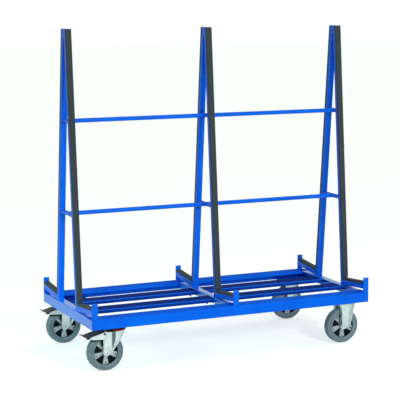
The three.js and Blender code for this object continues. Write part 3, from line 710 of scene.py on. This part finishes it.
def build_lean_frames():
    """Legs, soles and rubber strips of the three frames, and the two braces."""
    parts = (("tube_leg", leg, frame_paint, "blue_paint", "leg"),
             ("stop_sole", sole, frame_paint, "blue_paint", "sole"),
             ("lean_strip", leg_strip, upright_rubber, "pad_rubber", "leg_pad"),
             ("sole_strip", sole_strip, level_rubber, "pad_rubber", "sole_pad"))
    for place in STATIONS:
        for side in SIDES:
            for name, shape, material, slot, node in parts:
                piece(f"{name}_{place}_{side}", shape(place, side), material,
                      nodes=[f"{node}_{place}_{side}"])
    for name in ("upper_brace", "lower_brace"):
        low, high = node_box(name)
        piece(f"welded_{name}", brace((low[2] + high[2]) / 2), frame_paint, nodes=[name])


# Casters

def bolt_places(middle_x, y):
    """The four bolts of a caster's top plate."""
    along, across = HALF_PITCH
    return [np.array([middle_x + dx, y + dy, 0]) for dx in (-along, along) for dy in (-across, across)]


def top_plate(middle_x, y):
    """Flat caster plate with round corners, and four hexagon heads with washers under it."""
    washer_radius, washer, head = 10.0, 1.6, 5.0
    middle = np.array([middle_x, y, 0])
    outline = box_outline(-HALF_PLATE, HALF_PLATE, PLATE_CORNER)
    shells = [bar(outline, middle + PLATE_FOOT * Z, middle + PLATE_TOP * Z, X, Y)]
    for place in bolt_places(middle_x, y):
        under = place + PLATE_FOOT * Z
        shells += [disc(washer_radius, under, "z", -washer, HAIR),
                   bolt_head(under - (washer - HAIR / 2) * Z, "z", -1, NUT_FLATS, head)]
    return shells


def plate_nuts(middle_x, y):
    """Nuts of those bolts above the corner plate, with the bolts' ends."""
    nut, bolt_radius, bolt_foot, bolt_end = 8.0, 4.9, -14.0, 12.0
    shells = []
    for place in bolt_places(middle_x, y):
        over = place + CORNER_TOP * Z
        shells += [bolt_head(over + SEAM * Z, "z", 1, NUT_FLATS, nut),
                   disc(bolt_radius, over, "z", bolt_foot, bolt_end)]
    return shells


def swivel_top(y):
    """Top plate of a swivel caster, with the kingpin and its nut below the fork's crown."""
    pin_radius, pin_chamfer, nut_flats, nut = 10.0, 1.0, 28.0, 11.5
    kingpin = np.array([KINGPIN_X, y, 0])
    return top_plate(KINGPIN_X, y) + [
        disc(pin_radius, kingpin, "z", CROWN_FOOT - nut, PLATE_FOOT + TUCK, pin_chamfer),
        bolt_head(kingpin + (CROWN_FOOT - SEAM) * Z, "z", -1, nut_flats, nut),
    ]


def seal_ring(y):
    """Swivel seal turned about the kingpin: a double lip, and a skirt that hangs over the fork's crown."""
    low, high = CROWN_TOP + SEAM, PLATE_FOOT - SEAM
    bore, groove, lip, skirt_in, skirt_out = 14.0, 46.0, 48.0, 57.3, 58.8
    drop, groove_level, step = 5.0, low + 8.0, 1.5
    section = [(bore, low), (skirt_in, low), (skirt_in, low - drop), (58.0, low - drop - 0.6),
               (skirt_out, low - drop), (skirt_out, low + drop), (lip, groove_level - step),
               (groove, groove_level), (lip, groove_level + step), (lip, high - step), (groove, high),
               (bore, high)]
    return [turned(section, (KINGPIN_X, y, 0), "z")]


def edge_strip(edge, thickness):
    """Outline of a strip inside the edge through the given points: the points and the same points moved in
    by the thickness along the mean of their sides' normals."""
    edge = np.asarray(edge, float)
    along = np.diff(edge, axis=0)
    along /= np.linalg.norm(along, axis=1, keepdims=True)
    normal = np.stack([-along[:, 1], along[:, 0]], 1)
    before, after = np.vstack([normal[:1], normal]), np.vstack([normal, normal[-1:]])
    mitre = (before + after) * (thickness / (1 + (before * after).sum(1)))[:, None]
    return rounded(np.vstack([edge, (edge + mitre)[::-1]]), CUT_EDGE)


def both_cheeks(outline, low, high, y, edge=CUT_EDGE):
    """An outline carried through a thickness on both sides of a wheel."""
    return [plate(outline, low, high, (0, y, 0), edge), plate(outline, -high, -low, (0, y, 0), edge)]


def swivel_fork(y):
    """Pressed fork: a dished crown, two cheeks with a round foot, a rib pressed outwards down each face and
    a flange turned out along the rear edge."""
    k, a, pin = KINGPIN_X, SWIVEL_AXLE_X, PEDAL_PIN[1]
    foot, front, ear = AXLE_LEVEL - FOOT_RADIUS, a - FOOT_RADIUS, a - 22.0
    crown_front, crown_rear = k - 57.0, k + 43.0
    foot_corner, shoulder = np.array([a + 10.1, foot]), np.array([crown_rear, CROWN_TOP - 17.0])
    cheek = rounded([(front, foot), foot_corner, shoulder, (crown_rear, CROWN_TOP), (crown_front, CROWN_TOP),
                     (crown_front, pin + 7), (ear, pin + 7), (ear, pin - 8), (front, pin - 9)],
                    [19.8, 19.8, 6, 3, 3, 2, 6.5, 2, 1.5], steps=9)

    rib_foot, rib_top = AXLE_LEVEL - 15.0, pin - 10.0
    rib_front, rib_step, rib_rear = a - 16.0, a + 4.0, a + 30.0
    rib = rounded([(rib_front, rib_foot), (a + 6, rib_foot), (rib_rear, AXLE_LEVEL + 24),
                   (rib_rear, CROWN_FOOT), (rib_step, CROWN_FOOT), (rib_step, rib_top), (rib_front, rib_top)],
                  [14, 12, 8, 4, 4, 4, 4], steps=8)
    rib_rise, rib_edge, flange_rise, flange_from = 3.0, 2.6, 12.0, 0.14
    flange = edge_strip([foot_corner + flange_from * (shoulder - foot_corner), shoulder], FLANGE_WALL)

    hole, dish, rim = 10.4, 44.0, 57.0
    crown = [(hole, CROWN_FOOT), (dish, CROWN_FOOT), (dish + 6, CROWN_FOOT + 2), (rim, CROWN_TOP - 4),
             (rim, CROWN_TOP), (hole, CROWN_TOP)]
    bridge_wall, half_bridge = 5.0, CHEEK_IN + TUCK
    bridge = box_outline((crown_front + 1, -half_bridge), (crown_rear - 0.5, half_bridge), 3.0)
    return (both_cheeks(cheek, CHEEK_IN, CHEEK_OUT, y, CHEEK_EDGE)
            + both_cheeks(rib, CHEEK_OUT - TUCK, CHEEK_OUT + rib_rise, y, rib_edge)
            + both_cheeks(flange, CHEEK_OUT - TUCK, CHEEK_OUT + flange_rise, y)
            + [turned(crown, (k, y, 0), "z"),
               bar(bridge, y * Y + (CROWN_TOP - bridge_wall) * Z, y * Y + (CROWN_TOP - HAIR) * Z, X, Y)])


def painted_rib_shadow(y):
    """Painted shadow: a thin dark zinc panel in the pressing between the rib and the rear flange, where the
    rib casts its shadow, drawn to a point below.
    """
    a = SWIVEL_AXLE_X
    front, low, high = a + 28.0, AXLE_LEVEL + 22.0, CROWN_TOP - 3.0
    rise, edge = 0.6, 0.3
    groove = rounded([(front, low), (a + 34, low), (a + 50, AXLE_LEVEL + 64), (a + 55, high), (front, high)],
                     [0.5, 1, 6, 2, 0.5])
    return both_cheeks(groove, CHEEK_OUT - TUCK, CHEEK_OUT + rise, y, edge)


def black_cheek_strips(y):
    """Black L-shaped strip on both sides of the tyre, along the pedal's cheek and turned down ahead of the
    fork.
    """
    a = SWIVEL_AXLE_X
    tip, rear, foot = a - 98.0, a - 18.0, AXLE_LEVEL + 36.0
    low, high = AXLE_LEVEL + 69.0, AXLE_LEVEL + 79.0
    inner, outer = 25.6, 29.4
    strip_outline = rounded([(tip, low), (a - 32, low), (a - 28, foot), (rear, foot), (rear, high), (tip + 3, high)],
                  [1.5, 4, 3, 1, 1, 3])
    return both_cheeks(strip_outline, inner, outer, y)


def brake_caps(y):
    """Black cover on each shoulder of the fork, between the pedal and the seal."""
    front, rear, rise = SWIVEL_AXLE_X, SWIVEL_AXLE_X + 36.0, 15.0
    low, high = CROWN_FOOT + 2.0, PLATE_FOOT - 7.5
    cap = rounded([(front - 6, low), (rear, low), (rear, high), (front, high)], [1, 1, 3, 5])
    return both_cheeks(cap, CHEEK_IN + TUCK, CHEEK_OUT + rise, y)


def fixed_fork(y):
    """Fixed fork: a top plate, two cheeks with a round foot, a raised panel and a flange turned out along
    both edges."""
    a = FIXED_AXLE_X
    foot, waist, top = AXLE_LEVEL - FOOT_RADIUS, AXLE_LEVEL + 70.0, PLATE_FOOT + 3.0
    top_front, waist_front = (a - 30, top), (a - 21, waist)
    front = [top_front, waist_front, (a - FOOT_RADIUS, AXLE_LEVEL + 4)]
    rear = [(a + 36, AXLE_LEVEL + 8), (a + 49, waist), (a + 67, top)]
    cheek = rounded([(a - FOOT_RADIUS, foot), (a + 9, foot), *rear, top_front, waist_front],
                    [19.5, 19.5, 8, 12, 2, 2, 12], steps=9)
    panel_low, panel_high, panel_rise, flange_rise = AXLE_LEVEL + 24.0, top - 14.0, 2.2, 17.0
    panel = rounded([(a - 9, panel_low), (a + 26, panel_low), (a + 36, waist), (a + 48, panel_high),
                     (a - 18, panel_high), (a - 11, waist)], [8, 8, 10, 4, 4, 10], steps=8)
    shells = both_cheeks(cheek, CHEEK_IN, CHEEK_OUT, y, CHEEK_EDGE)
    shells += both_cheeks(panel, CHEEK_OUT - TUCK, CHEEK_OUT + panel_rise, y, panel_rise)
    for edge in (front, rear):
        shells += both_cheeks(edge_strip(edge, FLANGE_WALL), CHEEK_OUT - TUCK, CHEEK_OUT + flange_rise, y)
    return shells + top_plate(FIXED_PLATE_X, y)


def axle_bolt(middle):
    """Axle with a washer and a hexagon head at each end."""
    radius, past, washer_radius, washer, flats, head = 6.0, 4.0, 14.0, 2.0, 19.0, 6.0
    out = CHEEK_OUT + SEAM
    shells = [disc(radius, middle, "y", -out - past, out + past)]
    for way in (1, -1):
        shells += [disc(washer_radius, middle, "y", *sorted((way * out, way * (out + washer)))),
                   bolt_head(middle + way * (out + washer - HAIR / 2) * Y, "y", way, flats, head)]
    return shells


def painted_axle_hole_shade(middle):
    """Black disc on the outer face of each head of the axle: painted shade of its centre hole."""
    radius, half, chamfer = 3.4, 0.6, 0.2
    face = CHEEK_OUT + SEAM + 7.5
    return [disc(radius, middle, "y", way * face - half, way * face + half, chamfer) for way in (-1, 1)]


def mirrored(half):
    """A closed section from its half: the half, and all of it that is not on the middle plane once more, on
    the other side."""
    return np.vstack([half, (half * [1, -1])[half[:, 1] > 0][::-1]])


def tyre(middle):
    """Solid tyre: half of its section, from the bead over the side and a raised ring to the crowned tread
    with its groove, and the same half mirrored, turned about the axle."""
    return [turned(mirrored(TYRE_HALF), middle, "y", steps=128)]


def wheel_centre(middle):
    """Cast centre: a hub turned about the axle, and on both faces five spokes that widen towards the rim,
    one of them straight down."""
    near, far, edge = 2.0, 14.0, 2.2
    fan = rounded(SPOKE, [2, 5, 5, 2], steps=7)
    shells = [turned(mirrored(HUB_HALF), middle, "y")]
    for turn in SPOKE_TURNS:
        spin = np.array([[np.cos(turn), np.sin(turn)], [-np.sin(turn), np.cos(turn)]])
        shells += [plate(fan @ spin, low, high, middle, edge) for low, high in ((near, far), (-far, -near))]
    return shells


def wheel_core(middle):
    """Dark rim and the stepped disc behind the spokes, with a black rivet near the rim on each spoke: the
    rivets' black is painted shade of the recesses they sit in.
    """
    shells = [turned(mirrored(half), middle, "y") for half in (RIM_HALF, CORE_HALF)]
    for turn in SPOKE_TURNS:
        place = middle + RIVET_CIRCLE * (np.sin(turn) * X - np.cos(turn) * Z)
        shells += [spun(np.multiply(RIVET, (1, way)), place, "y", steps=20) for way in (-1, 1)]
    return shells


def pedal_point(along, height):
    """Place (x, z) on the tread: along its slope from the pin and square to it."""
    over = TREAD_LIFT + np.asarray(height)
    x = np.multiply(along, math.cos(TREAD_SLOPE)) - over * math.sin(TREAD_SLOPE)
    z = np.multiply(along, math.sin(TREAD_SLOPE)) + over * math.cos(TREAD_SLOPE)
    return np.stack(np.broadcast_arrays(x, z), -1) + PEDAL_PIN


def pedal_tread(y):
    """Tread with cross ribs and an upturned tongue: its side outline is carried across, and its front
    corners are drawn in along a curve, by the square of the way to the tip. A shoe hangs under it above the
    tyre."""
    first, last, count, rib = -93.0, -6.0, 11, [0.0, 1.0, 4.0, 5.0]
    starts = np.linspace(first, last, count)[:, None]
    rib_heights = np.tile([TREAD_WALL, RIB_TOP, RIB_TOP, TREAD_WALL], count)
    ribs = pedal_point((starts + rib).ravel(), rib_heights)[::-1]

    tongue_length, tongue_wall, tongue_rise = 29.0, 3.5, math.radians(27)
    bend = pedal_point(TREAD_BEND, 0)
    tongue = np.array([-math.cos(tongue_rise), math.sin(tongue_rise)])
    over = tongue_wall * np.array([tongue[1], -tongue[0]])
    outline = np.vstack([bend, pedal_point(TREAD_HEEL, 0), pedal_point(TREAD_HEEL, TREAD_WALL), ribs,
                         pedal_point(TREAD_BEND + tongue_wall, TREAD_WALL), bend + over + (0, 2.0),
                         bend + (tongue_length - 0.5) * tongue + over * 0.6, bend + tongue_length * tongue])

    half_width, steps, corner, drawn_in = 42.5, 25, 40.0, 0.2
    side_x, side_z = outline.T
    across = np.linspace(-half_width, half_width, steps)[:, None]
    front = np.clip((side_x.min() + corner - side_x) / corner, 0, 1) ** 2
    rings = np.stack(np.broadcast_arrays(side_x, y + across * (1 - drawn_in * front), side_z), -1)

    shoe_front, shoe_rear, shoe_foot, half_shoe = -42.0, -20.0, -3.5, 17.0
    shoe = rounded(np.vstack([PEDAL_PIN + (shoe_front, shoe_foot), PEDAL_PIN + (shoe_rear, shoe_foot),
                              pedal_point(shoe_rear, TUCK), pedal_point(shoe_front, TUCK)]), 1.2)
    return [skin(rings), plate(shoe, -half_shoe, half_shoe, (0, y, 0))]


def pin_place(y):
    """Middle of the pedal's pin."""
    return np.array([PEDAL_PIN[0], y, PEDAL_PIN[1]])


def pedal_cheeks(y):
    """Zinc cheeks of the pedal outside the fork, and the pin through both."""
    reach, heel, inner, outer = -86.0, 26.0, 39.0, 42.0
    pin_radius, half_pin = 4.0, 43.0
    tip = pedal_point(reach, 0)
    outline = rounded(np.vstack([tip, (PEDAL_PIN[0] + reach, tip[1] - 12), PEDAL_PIN + (-8, -31),
                                 PEDAL_PIN + (heel, -4), PEDAL_PIN + (heel, 15), pedal_point(TREAD_HEEL, 4)]),
                      [1, 4, 8, 3, 3, 1])
    return both_cheeks(outline, inner, outer, y) + [disc(pin_radius, pin_place(y), "y", -half_pin, half_pin)]


def pin_heads(y):
    """Dark domed heads at the two ends of the pedal's pin."""
    return [spun(np.multiply(PIN_HEAD, (1, way)), pin_place(y), "y") for way in (-1, 1)]


def build_wheel(where, axle_x, y, axle_body):
    """One wheel on its roller body, and its axle on the fork's body."""
    roller = f"roller_{where}"
    middle = np.array([axle_x, y, AXLE_LEVEL])
    piece(f"solid_tyre_{where}", tyre(middle), grey_tyre, roller, [f"tyre_{where}"])
    piece(f"cast_wheel_{where}", wheel_centre(middle), aluminium, roller,
          [f"wheel_{where}"])
    piece(f"wheel_core_{where}", wheel_core(middle), core_black, roller)
    piece(f"axle_bolt_{where}", axle_bolt(middle), zinc, axle_body, [f"axle_{where}"])
    # Painted shade of the holes in the axle's heads
    piece(f"painted_axle_hole_shade_{where}", painted_axle_hole_shade(middle), core_black, axle_body)


def build_casters():
    """Two swivel casters with pedals at the left end and two fixed ones at the right."""
    for side, way in SIDES.items():
        y = way * CASTER_LINE
        left, right = f"{side}_left", f"{side}_right"
        swivel, pedal = f"swivel_{left}", f"pedal_{left}"
        piece(f"caster_plate_{left}", swivel_top(y), zinc, nodes=[f"top_plate_{left}"])
        piece(f"seal_ring_{left}", seal_ring(y), red_plastic, swivel, [f"swivel_bearing_{left}"])
        piece(f"pressed_fork_{left}", swivel_fork(y), zinc, swivel, [f"swivel_fork_{left}"])
        # Painted shadow of the rib on each fork cheek
        piece(f"painted_rib_shadow_{left}", painted_rib_shadow(y), painted_shadow_zinc, swivel)
        piece(f"brake_caps_{left}", brake_caps(y), core_black, swivel)
        piece(f"black_cheek_strips_{left}", black_cheek_strips(y), core_black, pedal)
        # The nuts take the painted shade of the dark blue coat
        piece(f"plate_nuts_{left}", plate_nuts(KINGPIN_X, y), shade_paint)
        piece(f"plate_nuts_{right}", plate_nuts(FIXED_PLATE_X, y), shade_paint)
        piece(f"pedal_tread_{left}", pedal_tread(y), black_plastic, pedal,
              [f"brake_pedal_{left}"])
        piece(f"pedal_cheeks_{left}", pedal_cheeks(y), zinc, pedal)
        piece(f"pedal_pin_heads_{left}", pin_heads(y), black_plastic, pedal)
        piece(f"pressed_fork_{right}", fixed_fork(y), zinc, nodes=[f"fixed_fork_{right}"])
        build_wheel(left, SWIVEL_AXLE_X, y, swivel)
        build_wheel(right, FIXED_AXLE_X, y, "frame")


def paint_corner_plates():
    """Paint on the corner plates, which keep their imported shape."""
    for side in SIDES:
        for end in ("left", "right"):
            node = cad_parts[f"corner_plate_{side}_{end}"]
            node.data.materials.clear()
            node.data.materials.append(rail_paint)


# Floor, light and camera

def shown(tree):
    """1 for rays from the camera, also by way of a mirror or a clear pane, and 0 for other light."""
    path = add(tree, "ShaderNodeLightPath", {})
    seen = path.outputs["Is Camera Ray"]
    for kind in ("Is Glossy Ray", "Is Transmission Ray"):
        seen = add(tree, "ShaderNodeMath", {0: seen, 1: path.outputs[kind]}, operation="MAXIMUM").outputs[0]
    return seen


def build_floor():
    """A wide sheet of white paper that takes the shadows. To the camera it glows a little, so that it is as
    white as the background where no shadow falls."""
    span, glow_strength = 40.0, 0.57
    corners = [(-span, -span, 0), (span, -span, 0), (span, span, 0), (-span, span, 0)]
    mesh = bpy.data.meshes.new("studio_floor")
    mesh.from_pydata(corners, [], [(0, 1, 2, 3)])
    floor = placed("studio_floor", mesh)
    material, tree, place = blank("white_paper_floor")
    colour = blend(tree, noise(tree, place, 2500, 2.0), "#e4ecea", "#e8f0ee")
    paper = add(tree, "ShaderNodeBsdfDiffuse", {"Color": colour})
    lift = add(tree, "ShaderNodeMath", {0: shown(tree), 1: glow_strength}, operation="MULTIPLY")
    glow = add(tree, "ShaderNodeEmission", {"Color": linear("#fbfff8"), "Strength": lift.outputs[0]})
    both = add(tree, "ShaderNodeAddShader", {0: paper.outputs[0], 1: glow.outputs[0]})
    add(tree, "ShaderNodeOutputMaterial", {"Surface": both.outputs[0]})
    mesh.materials.append(material)


def build_world():
    """A background that is white to the camera and gives a dimmer, even light."""
    ambient = 0.36
    world = bpy.data.worlds.new("studio")
    bpy.context.scene.world = world
    world.use_nodes = True
    tree = world.node_tree
    tree.nodes.clear()
    level = add(tree, "ShaderNodeMapRange", {"Value": shown(tree), "To Min": ambient, "To Max": 1.0})
    sky = add(tree, "ShaderNodeBackground", {"Color": linear("#ffffff"), "Strength": level.outputs["Result"]})
    add(tree, "ShaderNodeOutputWorld", {"Surface": sky.outputs[0]})


def sun(name, azimuth, elevation, strength, softness):
    """A soft lamp far away, by its azimuth from -Y towards -X and its elevation, in degrees."""
    lamp = bpy.data.lights.new(name, "SUN")
    lamp.energy = strength
    lamp.angle = math.radians(softness)
    placed(name, lamp).rotation_euler = (math.radians(90 - elevation), 0, math.radians(-azimuth))


def softbox(name, place, target, size, power, cone, tint="#ffffff"):
    """A square lamp near the cart that shines at a target within a cone, in metres, watts and degrees."""
    lamp = bpy.data.lights.new(name, "AREA")
    lamp.size = size
    lamp.energy = power
    lamp.spread = math.radians(cone)
    lamp.color = linear(tint)[:3]
    holder = placed(name, lamp)
    holder.location = place
    across, away, up = np.subtract(target, place)
    tilt = math.atan2(up, math.hypot(across, away))
    holder.rotation_euler = (math.pi / 2 + tilt, 0, math.atan2(-across, away))
    holder.visible_camera = False


def build_camera():
    """The photograph's camera: its place, turn and focal length fit the cart's corners in the picture."""
    focal_pixels, picture_pixels, sensor = 1439.47, 400, 36.0
    pitch_down, turn_right = 8.46, 24.83
    lens = bpy.data.cameras.new("photo_camera")
    lens.sensor_width = sensor
    lens.lens = sensor * focal_pixels / picture_pixels
    lens.clip_end = 200.0
    camera = placed("photo_camera", lens)
    camera.location = (-3.53542, -7.60159, 2.10468)
    camera.rotation_euler = (math.radians(90 - pitch_down), 0, math.radians(-turn_right))
    bpy.context.scene.camera = camera


build_base()
build_lean_frames()
build_casters()
paint_corner_plates()
build_floor()
build_world()
softbox("left_softbox", place=(-2.5, -0.6, 0.95), target=(-0.75, 0.18, 0.18), size=0.8, power=2.3, cone=55,
        tint="#c8fffa")
sun("front_fill", azimuth=12, elevation=9, strength=0.6, softness=20)
softbox("right_softbox", place=(0.85, -5.0, 2.4), target=(0.2, 0.0, 0.8), size=0.5, power=98, cone=180)
sun("soft_from_right", azimuth=-100, elevation=50, strength=0.5, softness=60)
build_camera()
bpy.context.scene.view_settings.view_transform = "Standard"
